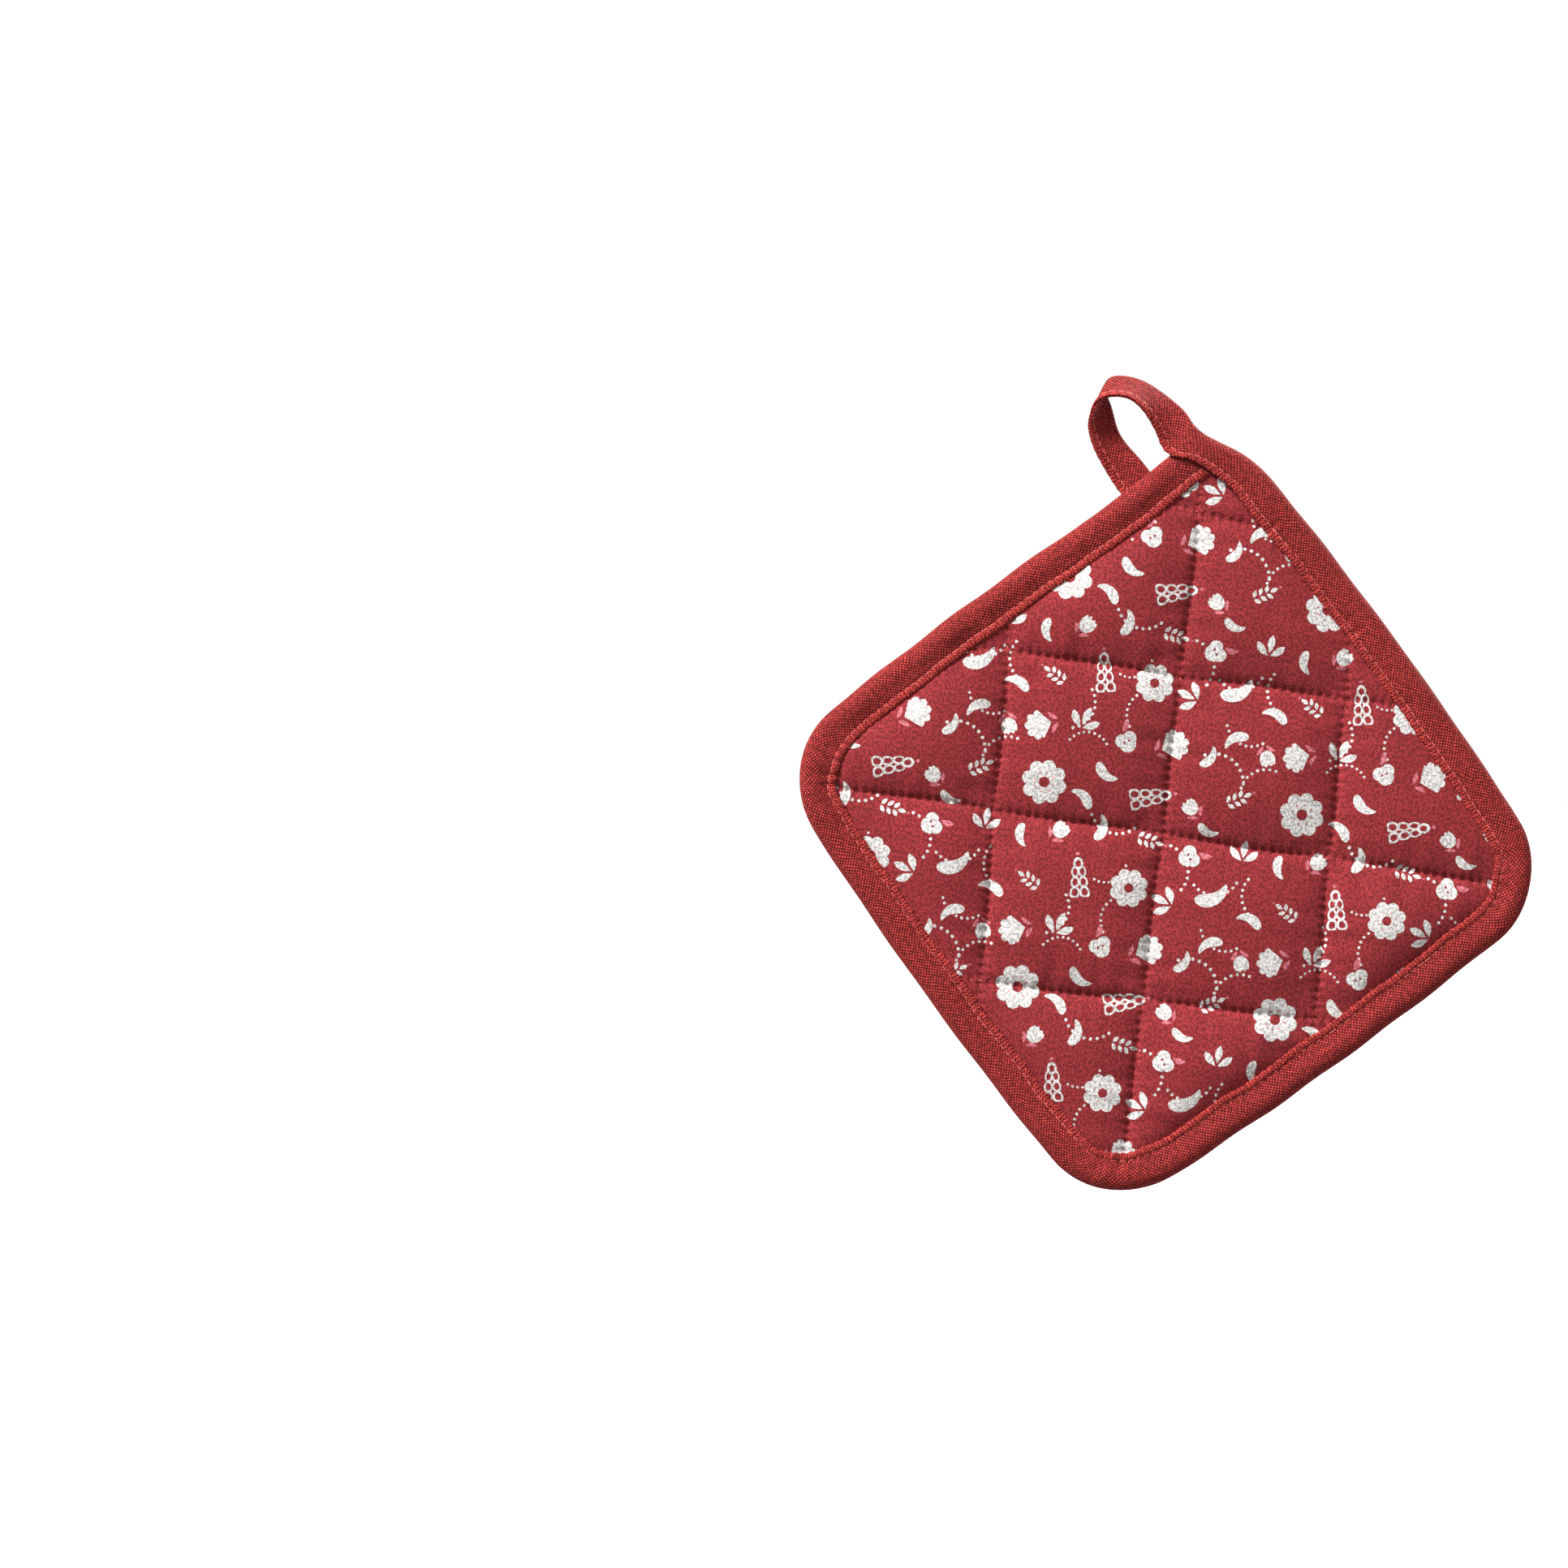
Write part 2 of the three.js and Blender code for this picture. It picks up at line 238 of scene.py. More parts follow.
def cloth_half(h, v, seed):
    """Half the pad's thickness to the outside of one cloth, in the quilt frame."""
    inside = edge_distance(*square_from_quilt(h, v)) - TOPSTITCH
    swell = rise(np.maximum(inside, 0), EDGE_REACH)
    ripple = pucker(inside, (h + v) * 0.7, seed + 11) * (inside > 0)
    for number, seam in enumerate(CROSS_SEAMS.values()):
        distance = v - seam_line(seam, h)
        swell = swell * seam_rise(distance)
        ripple = ripple + pucker(distance, h, seed + number)
    for number, seam in enumerate(LONG_SEAMS.values()):
        distance = h - seam_line(seam, v)
        swell = swell * seam_rise(distance)
        ripple = ripple + pucker(distance, v, seed + number + 5)
    uneven = waver(h * 0.8 + v * 0.35, seed + 21, 46) * waver(v * 0.9 - h * 0.3, seed + 22, 38) * UNEVEN
    return SEAM_HALF + SWELL * swell + (ripple + uneven * np.minimum(swell * 2, 1)) * (inside > 0)


middle = cloth_half(np.array([27.0]), np.array([23.0]), FRONT_SEED)
print("half thickness in a cell", round(float(middle[0]), 2), "mm")

# %% [markdown]
# ## Weaves, print and thread
# All the cloth is plain weave: threads that pass over and under each other like a chess board. One
# group makes it from the cloth's own lengths, with the pitch of the threads as an input, and gives
# a height for the bump and a shade for the colour, which paints shade between the threads and a
# lighter colour on their tops. The tape is coarser than the cloths. Such groups hold much
# arithmetic, so a small class lets it be written with the usual signs.

# %% Wires: node arithmetic written as plain sums
class Wire:
    """A value in a node tree. Each sign between wires adds one Math node."""

    def __init__(self, socket):
        self.socket, self.tree = socket, socket.id_data

    def __add__(self, other):
        return maths("ADD", self, other)

    def __sub__(self, other):
        return maths("SUBTRACT", self, other)

    def __rsub__(self, other):
        return maths("SUBTRACT", other, self)

    def __mul__(self, other):
        return maths("MULTIPLY", self, other)

    def __truediv__(self, other):
        return maths("DIVIDE", self, other)

    def __abs__(self):
        return maths("ABSOLUTE", self)


def wires(sockets):
    return {socket.name: Wire(socket) for socket in sockets}


def connect(value, socket):
    """Link a wire to a socket, or set a plain value there."""
    if isinstance(value, Wire):
        value.tree.links.new(value.socket, socket)
    elif value is not None:
        socket.default_value = value


def new_node(tree, kind, values=(), **settings):
    """A node with its settings, whose first inputs get the values."""
    node = tree.nodes.new(kind)
    for label, setting in settings.items():
        setattr(node, label, setting)
    for value, socket in zip(values, node.inputs):
        connect(value, socket)
    return node


def fill(node, values):
    """Give a node's named inputs their wires or plain values."""
    for label, value in values.items():
        connect(value, node.inputs[label])


def node_on(values, kind, out=0, **settings):
    """A node in the tree that its wires are in, and one of its outputs as a wire."""
    tree = next(value.tree for value in values if isinstance(value, Wire))
    return Wire(new_node(tree, kind, values, **settings).outputs[out])


def maths(operation, *values):
    return node_on(values, "ShaderNodeMath", operation=operation)


def vector_maths(operation, *values, out=0):
    return node_on(values, "ShaderNodeVectorMath", out, operation=operation)


def joined(*parts):
    return node_on(parts, "ShaderNodeCombineXYZ")


def parts_of(vector):
    node = new_node(vector.tree, "ShaderNodeSeparateXYZ", [vector])
    return [Wire(socket) for socket in node.outputs]


def length_of(x, y):
    return vector_maths("LENGTH", joined(x, y), out=1)


def in_millimetres(metres):
    return vector_maths("SCALE", metres, None, None, 1 / MM)


def ramp(value, low, high, to_low=0.0, to_high=1.0):
    """A soft step, from to_low at the low value to to_high at the high one."""
    values = (value, low, high, to_low, to_high)
    return node_on(values, "ShaderNodeMapRange", interpolation_type="SMOOTHSTEP")


def blend_colour(share, first, second, mode="MIX"):
    """Two colours mixed. The Mix node keeps its colours in the seventh and eighth inputs."""
    values = (share, None, None, None, None, None, first, second)
    return node_on(values, "ShaderNodeMix", 2, data_type="RGBA", blend_type=mode)


def noise(vector, scale, detail=2.0):
    node = new_node(vector.tree, "ShaderNodeTexNoise")
    fill(node, {"Vector": vector, "Scale": scale, "Detail": detail})
    return Wire(node.outputs["Fac"])


def add_sockets(tree, side, rows):
    """Named sockets of a tree, from rows of label, kind and, for some, a value to start with."""
    for label, kind, *value in rows:
        socket = tree.interface.new_socket(label, in_out=side, socket_type="NodeSocket" + kind)
        if value:
            socket.default_value = value[0]


def new_group(name, inputs, outputs):
    """A shader group: the tree, its inputs as wires, and its last node."""
    tree = bpy.data.node_groups.new(name, "ShaderNodeTree")
    add_sockets(tree, "INPUT", inputs)
    add_sockets(tree, "OUTPUT", outputs)
    return tree, wires(tree.nodes.new("NodeGroupInput").outputs), tree.nodes.new("NodeGroupOutput")


def add_group(group, **values):
    """A group in the tree that its vector is in, and its outputs as wires."""
    node = new_node(values["Vector"].tree, "ShaderNodeGroup", node_tree=group)
    fill(node, values)
    return wires(node.outputs)


def new_material(name, values):
    """A material whose shader's inputs get plain values."""
    material = bpy.data.materials.new(name)
    material.use_nodes = True
    fill(material.node_tree.nodes["Principled BSDF"], values)
    return material


print("node helpers ready")

# %% The plain weave, as a group
WANDER, SLUB, SPECK = 2.2, 0.6, 4.2


def build_weave():
    """Threads over and under each other, from cloth lengths in metres and pitches in millimetres."""
    tree, given, result = new_group(
        "plain_weave",
        [("Vector", "Vector"), ("Pitch", "Float", 0.55), ("Across", "Float", 0.55),
         ("Balance", "Float", 0.45)],
        [("Height", "Float"), ("Shade", "Float"), ("Slub", "Float")])
    place = in_millimetres(given["Vector"])
    x, y, _ = parts_of(place)
    wander = (noise(place, 0.11) - 0.5) * WANDER
    warp, weft = (x + wander) / given["Pitch"], (y + wander) / given["Across"]
    over = maths("SINE", warp * math.pi) * maths("SINE", weft * math.pi)
    height = maths("MAXIMUM", over, abs(over) * given["Balance"])
    along_warp = noise(joined(maths("FLOOR", warp), y * 0.05), 3.1)
    along_weft = noise(joined(x * 0.05, maths("FLOOR", weft)), 3.7)
    speck = noise(joined(warp, weft * 0.8), 0.55)
    slub = (along_warp + along_weft - 1.0) * SLUB + (speck - 0.5) * SPECK
    # Shade is low between the threads and high on their tops, and the materials use it as painted shade
    # between the threads.
    fill(result, {"Height": height, "Shade": ramp(height, -0.1, 0.85), "Slub": slub})
    return tree


WEAVE = build_weave()
print("weave ready")

# %% Woven cloth as a material
RIB_SHARE, RIB_WOBBLE, FUZZ_SHARE = 0.38, 9.0, 0.35


def cloth_material(name, pitch, across, high, low, depth, balance, roughness=0.9, pattern=None, ribs=None):
    """Woven cloth: painted shade between the threads, a lighter colour on their tops, with slubs and a soft
    sheen.
    """
    material = new_material(name, {
        "Sheen Weight": 0.05, "Sheen Roughness": 0.4, "Sheen Tint": (1.0, 0.45, 0.40, 1),
        "Specular IOR Level": 0.15})
    tree = material.node_tree
    lengths = Wire(new_node(tree, "ShaderNodeUVMap", uv_map="cloth").outputs[0])
    weave = add_group(WEAVE, Vector=lengths, Pitch=pitch, Across=across, Balance=balance)
    low, high = (*low, 1), (*high, 1)
    # Painted shade: the colour runs from low between the threads to high on their tops.
    colour, height = blend_colour(weave["Shade"], low, high), weave["Height"]
    if pattern:
        colour = pattern(lengths, colour, weave["Shade"])
    if ribs:
        hem = Wire(new_node(tree, "ShaderNodeAttribute", attribute_name="hem").outputs["Fac"])
        along = parts_of(lengths)[0]
        wobble = (noise(lengths, 420.0) - 0.5) * RIB_WOBBLE
        rib = maths("SINE", along * (2 * math.pi / (ribs * MM)) + wobble)
        share = hem * RIB_SHARE
        # Painted shade between the hem's ribs: the colour runs from low in the grooves to high on the ribs,
        # matching the rib bump.
        colour = blend_colour(share, colour, blend_colour(ramp(rib, -1.0, 0.8), low, high))
        height = height + rib * share * 0.9
    place = Wire(new_node(tree, "ShaderNodeTexCoord").outputs["Object"])
    fade = ramp(noise(place, 22.0, 3.0), 0.3, 0.7, 0.93, 1.06)
    tone = ramp(weave["Slub"], -0.45, 0.45, 0.68, 1.32) * fade
    grey = node_on((tone,) * 3, "ShaderNodeCombineColor")
    bump = new_node(tree, "ShaderNodeBump")
    fuzz = noise(lengths, 5200.0, 1.0)
    fill(bump, {"Strength": 0.8, "Distance": depth * MM, "Height": height + fuzz * FUZZ_SHARE})
    fill(tree.nodes["Principled BSDF"], {
        "Base Color": blend_colour(1.0, colour, grey, "MULTIPLY"), "Normal": Wire(bump.outputs[0]),
        "Roughness": ramp(weave["Shade"], 0.0, 1.0, roughness, roughness - 0.12)})
    return material


print("cloth ready")

# %% [markdown]
# ## The print
# The front cloth carries a small floral print in white and pink: daisies, curled leaves, buds,
# sprigs, seed pods and dotted stems, scattered over a repeat. Every motif is a group that measures
# how far a point is from a simple outline. It is given its place in the repeat, its turn and its
# size, and it wraps round the edges of the repeat, so no motif is cut.

# %% Outlines to draw with
def leaf(x, y, centre, turn, length, width, bend=0.0, lean=0.0):
    """A pointed leaf. A bend curves it, and a lean makes it fuller towards one end."""
    c, s = math.cos(turn), math.sin(turn)
    dx, dy = x - centre[0], y - centre[1]
    along = dx * c + dy * s
    square = along * along
    across = dy * c - dx * s - square * bend
    full = width / 2 - square * (2 * width / length ** 2)
    return abs(across) - full * maths("MAXIMUM", along * (2 * lean / length) + 1.0, 0.1)


def disc(x, y, centre, radius, stretch=1.0):
    return length_of(x - centre[0], (y - centre[1]) / stretch) - radius


def around(x, y, count):
    """Distance from the middle, and the point folded into one of the sectors around it."""
    reach = length_of(x, y)
    angle = maths("PINGPONG", maths("ARCTAN2", y, x), math.pi / count)
    return reach, reach * maths("COSINE", angle), reach * maths("SINE", angle)


def either(first, second):
    return maths("MINIMUM", first, second)


def both(first, second):
    return maths("MAXIMUM", first, second)


def but_not(shape, hole):
    return both(shape, hole * -1.0)


def sepals(x, y, low):
    return leaf(abs(x), y, (1.7, low), 0.75, 3.8, 1.3, -0.08)


print("outlines ready")

# %% Motifs: each function gives its white and its pink outline, in millimetres
def draw_daisy(x, y):
    reach, px, py = around(x, y, 8)
    petals = either(disc(px, py, (4.9, 0), 2.15), reach - 5.3)
    return but_not(petals, reach - 1.7), disc(px, py, (3.1, 0), 0.34)


def draw_curl(x, y):
    """A bent drop: a thick stroke along an arc, fuller at one end and round at both."""
    radius, half_length = 5.2, 4.9
    low = y + radius
    along = maths("ARCTAN2", x, low) * radius
    share = along / half_length
    full = maths("SQRT", maths("MAXIMUM", 1.0 - share * share, 0.0)) * (share * 0.65 + 1.55)
    beyond = maths("MAXIMUM", abs(along) - half_length, 0.0)
    return abs(length_of(x, low) - radius) - full + beyond * 3.0, None


def draw_bud(x, y):
    crown = y - 1.6 - maths("PINGPONG", x, 0.85)
    return both(disc(x, y, (0, 0), 2.6, 1.2), crown), sepals(x, y, -3.4)


def draw_fan(x, y):
    reach, px, py = around(x, y, 9)
    lobes = either(disc(px, py, (3.4, 0), 1.15), reach - 3.7)
    return both(lobes, abs(x) * 0.75 - 3.7 - y), sepals(x, y, -4.4)


def draw_sprig(x, y):
    pairs = leaf(abs(x), maths("WRAP", y, 1.25, -1.25), (1.45, 0.25), 0.65, 3.0, 1.5)
    tip = leaf(x, y, (0, 5.1), math.pi / 2, 3.4, 1.6)
    return either(both(pairs, abs(y) - 3.7), tip), disc(x, y, (0, 7.7), 0.45)


def draw_pod(x, y):
    """Pairs of rings in a tapering row, with one more ring for a cap."""
    line = 0.42
    side = abs(x) * (y * 0.05 + 1.25)
    hoops = abs(disc(side, maths("WRAP", y, 2.05, -2.05), (2.05, 0), 1.75, 1.12)) - line
    cap = abs(disc(x, y, (0, 7.3), 1.5, 1.3)) - line
    return either(both(hoops, abs(y) - 6.15), cap), disc(x, y, (0, 11.2), 0.7)


def draw_fruit(x, y):
    body = either(disc(abs(x), y, (1.35, 0.8), 2.05), disc(x, y, (0, -0.8), 2.5))
    return but_not(body, disc(abs(x), y, (0.8, 0.1), 0.4)), leaf(x, y, (1.7, 4.6), 0.9, 4.2, 1.8, 0.12)


def draw_spray(x, y):
    side = leaf(abs(x), y, (2.9, 1.9), 0.75, 6.2, 2.5, 0.03, 0.3)
    return either(side, leaf(x, y, (0, 4.2), math.pi / 2, 6.4, 2.5, 0.0, 0.3)), None


def draw_stem(x, y):
    """Dots along an arc."""
    radius, half_step, half_sweep = 11.0, 0.12, 1.08
    reach, angle = length_of(x, y), maths("ARCTAN2", y, x)
    turn = maths("WRAP", angle, half_step, -half_step)
    dots = length_of(reach - radius, turn * reach) - 0.64
    return both(dots, (abs(angle) - half_sweep) * 8.0), None


print("motifs drawn")

# %% Motifs as groups
REPEAT, INK_EDGE = (88.0, 70.0), 0.14


def motif_group(name, draw):
    """A motif at its place in the repeat, with a soft edge where its distance is nought."""
    tree, given, result = new_group(
        name,
        [("Vector", "Vector"), ("Centre", "Vector", (0, 0, 0)), ("Turn", "Float", 0.0),
         ("Size", "Float", 1.0)],
        [("White", "Float"), ("Pink", "Float")])
    away = vector_maths("SUBTRACT", given["Vector"], given["Centre"])
    half = (REPEAT[0] / 2, REPEAT[1] / 2, 1)
    wrapped = vector_maths("WRAP", away, half, tuple(-value for value in half))
    spin = new_node(tree, "ShaderNodeVectorRotate", rotation_type="Z_AXIS")
    fill(spin, {"Vector": wrapped, "Angle": given["Turn"]})
    sized = vector_maths("DIVIDE", Wire(spin.outputs[0]), joined(given["Size"], given["Size"]))
    x, y, _ = parts_of(sized)
    for distance, ink in zip(draw(x, y), ("White", "Pink")):
        if distance is not None:
            connect(ramp(distance, INK_EDGE, -INK_EDGE), result.inputs[ink])
    return tree


MOTIFS = {name: motif_group(name, draw) for name, draw in {
    "daisy": draw_daisy, "curl": draw_curl, "bud": draw_bud, "fan": draw_fan, "sprig": draw_sprig,
    "pod": draw_pod, "fruit": draw_fruit, "spray": draw_spray, "stem": draw_stem}.items()}
print("motifs", sorted(MOTIFS))

# %% The repeat: each motif's places, turns in degrees and sizes
LAYOUT = {
    "daisy": [(9, 9, 10, 1.08), (42, 47, 20, 0.94)],
    "curl": [(23, 6, 40, 1.0), (29, 14, 215, 1.0), (64, 24, 120, 0.9), (71, 32, -30, 1.0),
             (71, 47, 150, 1.35), (84, 42, 20, 1.0), (3, 60, -100, 0.9), (31, 66, 100, 1.0),
             (66, 69, 200, 0.85)],
    "pod": [(44, 8, 75, 0.9), (25, 47, -10, 0.85)],
    "bud": [(59, 7, -50, 1.0), (83, 26, 160, 1.0), (17, 64, 40, 1.05)],
    "sprig": [(74, 11, 60, 0.9), (9, 45, -60, 0.85), (46, 64, 100, 0.9)],
    "fan": [(5, 28, -110, 1.1), (51, 27, 60, 1.15)],
    "spray": [(19, 29, 20, 1.0), (57, 43, -70, 1.0), (79, 61, 5, 0.95)],
    "fruit": [(35, 26, -30, 1.1), (61, 60, 60, 1.1)],
    "stem": [(35, 4, 100, 0.85), (66, 16, -60, 0.9), (42, 36, 200, 0.75), (14, 37, 20, 0.8),
             (76, 38, 110, 0.75), (52, 54, -20, 0.85), (1, 50, 160, 0.8), (84, 14, -130, 0.8),
             (33, 55, 60, 0.65), (22, 20, -90, 0.7), (70, 57, 80, 0.8)]}
ALL_WHITE = ("curl", "spray", "stem")
# The white ink: its first colour is painted shade between the threads, its second the ink on their tops.
WHITE_INK = ((0.44, 0.42, 0.40, 1), (0.84, 0.81, 0.78, 1))
PINK_INK, PINK_COVER = (0.53, 0.15, 0.18, 1), 0.85


def printed(lengths, colour, shade):
    """The ground colour with the white and pink inks over it."""
    place = in_millimetres(lengths)
    white = pink = 0.0
    for name, spots in LAYOUT.items():
        for x, y, turn, size in spots:
            inks = add_group(MOTIFS[name], Vector=place, Centre=(x, y, 0), Turn=math.radians(turn), Size=size)
            white = maths("MAXIMUM", white, inks["White"])
            if name not in ALL_WHITE:
                pink = maths("MAXIMUM", pink, inks["Pink"])
    # The white ink takes painted shade between the threads from the weave's shade.
    colour = blend_colour(white, colour, blend_colour(shade, *WHITE_INK))
    return blend_colour(pink * PINK_COVER, colour, PINK_INK)


# For each cloth, low is the painted shade between the threads and high the colour on their tops.
PRINTED = cloth_material("printed_cotton", pitch=0.48, across=0.45, high=(0.41, 0.047, 0.050),
                         low=(0.13, 0.010, 0.014), depth=0.16, balance=0.25, pattern=printed)
PLAIN = cloth_material("plain_cotton", pitch=0.54, across=0.54, high=(0.44, 0.060, 0.047),
                       low=(0.14, 0.010, 0.009), depth=0.16, balance=0.35)
TAPE = cloth_material("edge_tape", pitch=0.66, across=0.64, high=(0.57, 0.058, 0.048),
                      low=(0.08, 0.004, 0.005), depth=0.28, balance=0.10, roughness=0.85, ribs=1.25)
print("materials", PRINTED.name, PLAIN.name, TAPE.name, "with", sum(map(len, LAYOUT.values())), "motifs")

# %% Thread and padding
THREAD = new_material("thread", {
    "Base Color": (0.50, 0.075, 0.060, 1), "Roughness": 0.55, "Sheen Weight": 0.2})
PADDING = new_material("batting", {"Base Color": (0.80, 0.78, 0.72, 1), "Roughness": 1.0})
print("thread and padding ready")

# %% [markdown]
# ## The two cloths and the padding
# Each cloth is a sheet of small squares. The sheet's grid is a square whose corners are drawn in to
# the rounded outline, and the height function lifts it. Its edge lies inside the edge tape. The
# padding is a closed body just inside both cloths.

# %% Front cloth, back cloth and padding
CLOTH_INSET, PADDING_INSET = 1.8, 2.8
PADDING_SKIN, THINNEST, REACH_ROUND = 0.35, 0.2, 2.6
PATTERN_START, HALVINGS = 140, 26


def pad_grid(count, inset):
    """A grid over the pad, with its corners drawn in to the rounded outline, found by halving."""
    ticks = np.linspace(-1, 1, count)
    s, t = np.meshgrid(ticks, ticks, indexing="ij")
    far = np.maximum(np.abs(s), np.abs(t))
    low, high = np.full(s.shape, 60.0), np.full(s.shape, 150.0)
    safe = np.maximum(far, 1e-9)
    for _ in range(HALVINGS):
        reach = (low + high) / 2
        inside = edge_distance(s / safe * reach, t / safe * reach) > inset
        low, high = np.where(inside, reach, low), np.where(inside, high, reach)
    full = HALF + EDGE_BULGE - inset
    scale = full + (low - full) * far ** 5
    return s * scale, t * scale


def quilt_from_square(a, b):
    return turned(a, b, SQUARE_TURN)


def make_cloth(name, side, count, material, seed):
    """One cloth of the quilt: side is -1 for the front and 1 for the back."""
    a, b = pad_grid(count, CLOTH_INSET)
    h, v = quilt_from_square(a, b)
    depth = side * cloth_half(h, v, seed)
    points = world_from_square(a, b, depth).reshape(-1, 3)
    faces = grid_faces(count, count, flip=side < 0)
    lengths = np.stack([h * -side, v], -1).reshape(-1, 2) + PATTERN_START
    return make_piece(name, points, faces, lengths, material)


def make_padding(count):
    """A closed body, everywhere lower than the lowest cloth within a short reach."""
    a, b = pad_grid(count, PADDING_INSET)
    h, v = quilt_from_square(a, b)
    shifts = np.linspace(-REACH_ROUND, REACH_ROUND, 7)
    layers = []
    for side, seed in ((-1, FRONT_SEED), (1, BACK_SEED)):
        lowest = np.minimum.reduce([cloth_half(h + dh, v + dv, seed) for dh in shifts for dv in shifts])
        depth = side * np.maximum(lowest - PADDING_SKIN, THINNEST)
        layers.append(world_from_square(a, b, depth).reshape(-1, 3))
    rim = np.concatenate([np.arange(count), np.arange(2 * count - 1, count * count, count),
                          np.arange(count * count - 2, count * count - count - 1, -1),
                          np.arange(count * count - 2 * count, 0, -count)])
    after = np.roll(rim, -1)
    wall = np.stack([after, after + count * count, rim + count * count, rim], -1)
    front_side, back_side = grid_faces(count, count, flip=True), grid_faces(count, count, count * count)
    faces = np.vstack([front_side, back_side, wall])
    return make_piece("padding", np.vstack(layers), faces, np.zeros((2 * count * count, 2)), PADDING)


CLOTH_COUNT, PADDING_COUNT = 300, 91
front = make_cloth("front_cloth", -1, CLOTH_COUNT, PRINTED, FRONT_SEED)
back = make_cloth("back_cloth", 1, CLOTH_COUNT, PLAIN, BACK_SEED)
padding = make_padding(PADDING_COUNT)
print("cloth faces", len(front.data.polygons))

# %% [markdown]
# ## The edge tape, all in one length
# One tape does everything. It starts under the top corner, folds over the edge of the pad all the
# way round, runs out over its own start at the same corner, closes flat to make the hanging loop,
# and is sewn down behind the pad. So the route is one row of knots. Each knot has the fold of the
# tape, its sewn edges, how far they are from the middle between them, and how full the fold is.
# Along the pad a formula places the knots. At the start, the top corner, the loop and the sewn end
# they are listed.

# %% The route of the tape
TAPE_WIDTH = 13.0
LOOP_NEAR = [
    (15.7, -0.8, -20.4), (12.7, -1, -17.7), (10.5, -3, -12.4), (6.3, -5.2, -5.5), (1.4, -5.8, -1.4),
    (-4.7, -4.9, -0.6), (-9.4, -2.8, -2.5), (-11.4, -0.7, -7.4), (-11.8, 0.8, -11.8), (-9.6, 1.9, -19),
    (-3.5, 4.4, -29.5)]
LOOP_FAR = [
    (27.4, -0.8, -13.3), (23.8, -1, -10.2), (20.7, 1, -5.5), (15.2, 2.9, -0.6), (7.7, 3.9, 4.4),
    (1.1, 4.3, 6.5), (-3.9, 5.2, 6.1), (-5.8, 6.2, 1.9), (-3.9, 6.8, -3.6), (-0.8, 6.5, -13.2),
    (6.5, 4.4, -22.3)]
FULL, FLAT = 3.4, 0.85
EDGE_GAP, LOOP_GAP, TAB_DEPTH = 2.0, 0.10, 3.9
TAPE_START, TAPE_END = -45.0, 62.0
START = [((87, 100.9), 2.1), ((80, 100.7), 2.3), ((73, 100.4), 2.8), ((60, 99.9), 3.3)]
CORNER = [
    ((98.2, 69.0), (85.2, 69.0), 0.0, 2.0, 3.4), ((97.2, 78.0), (84.4, 78.5), 0.0, 2.1, 3.4),
    ((94.8, 86.7), (82.5, 87.5), 0.0, 2.6, 3.5), ((90.4, 95.4), (78.6, 96.4), -0.3, 2.8, 3.4)]
TAB = [((66.2, 98.0), (53.8, 98.0), 3.95, 0.12, FLAT), ((66.2, 93.0), (53.8, 93.0), TAB_DEPTH, 0.12, FLAT),
       ((66.0, 88.4), (54.0, 88.4), 3.5, 0.08, 0.25)]


def outline_knots():
    """Points of the pad's outline, from the top left side by the left, bottom and right corners."""
    centre = HALF - CORNER_RADIUS
    spots = []
    for side in range(1, 5):
        turn = side * math.pi / 2
        begin = TAPE_START if side == 1 else -centre
        ahead = TAPE_END if side == 4 else centre
        straight = np.linspace(begin, ahead, 14)
        spots += [turned(HALF, along, turn) for along in (straight if side == 4 else straight[:-1])]
        if side < 4:
            for angle in np.linspace(0, math.pi / 2, 8, endpoint=False):
                x, y = [centre + CORNER_RADIUS * way(angle) for way in (math.cos, math.sin)]
                spots.append(turned(x, y, turn))
    a, b = np.array(spots).T
    swell = EDGE_BULGE / HALF
    return np.stack([a * (1 + swell * (1 - (b / HALF) ** 2)), b * (1 + swell * (1 - (a / HALF) ** 2))], -1)


def tape_knots():
    """Rows of fold, sewn edge, half gap, fullness, and 1 where the gap holds, not the cloth's height."""
    edge = np.vstack([np.array([spot for spot, _ in START]), outline_knots()])
    ahead = np.gradient(edge, axis=0)
    ahead /= np.linalg.norm(ahead, axis=1)[:, None]
    inward = np.stack([-ahead[:, 1], ahead[:, 0]], -1)
    fullness = np.array([value for _, value in START] + [FULL] * (len(edge) - len(START)))
    fold, sewn = world_from_square(*edge.T, 0), world_from_square(*(edge + TAPE_WIDTH * inward).T, 0)
    gaps, given = np.full((len(edge), 1), EDGE_GAP), np.zeros((len(edge), 1))
    rows = [np.hstack([fold, sewn, gaps, fullness[:, None], given])]

    def flat_rows(table):
        return [np.hstack([world_from_square(*far, depth), world_from_square(*near, depth), [gap, full, 1.0]])
                for far, near, depth, gap, full in table]

    rows += flat_rows(CORNER)
    gaps = [1.7, 0.6] + [LOOP_GAP] * (len(LOOP_NEAR) - 2)
    fulls = [2.7, 1.6] + [FLAT] * (len(LOOP_NEAR) - 2)
    for far, near, gap, full in zip(LOOP_FAR, LOOP_NEAR, gaps, fulls):
        rows.append(np.hstack([far, near, [gap, full, 1.0]]))
    return np.vstack(rows + flat_rows(TAB))


STATION, SPLINE_STEPS = STITCH / 4, 24
route = spline(tape_knots(), SPLINE_STEPS)
route_length = run_length((route[:, :3] + route[:, 3:6]) / 2)
stations = np.linspace(0, route_length[-1], int(route_length[-1] / STATION))
route = at_lengths(route, route_length, stations)
print("tape", round(float(route_length[-1])), "mm long,", len(stations), "stations")
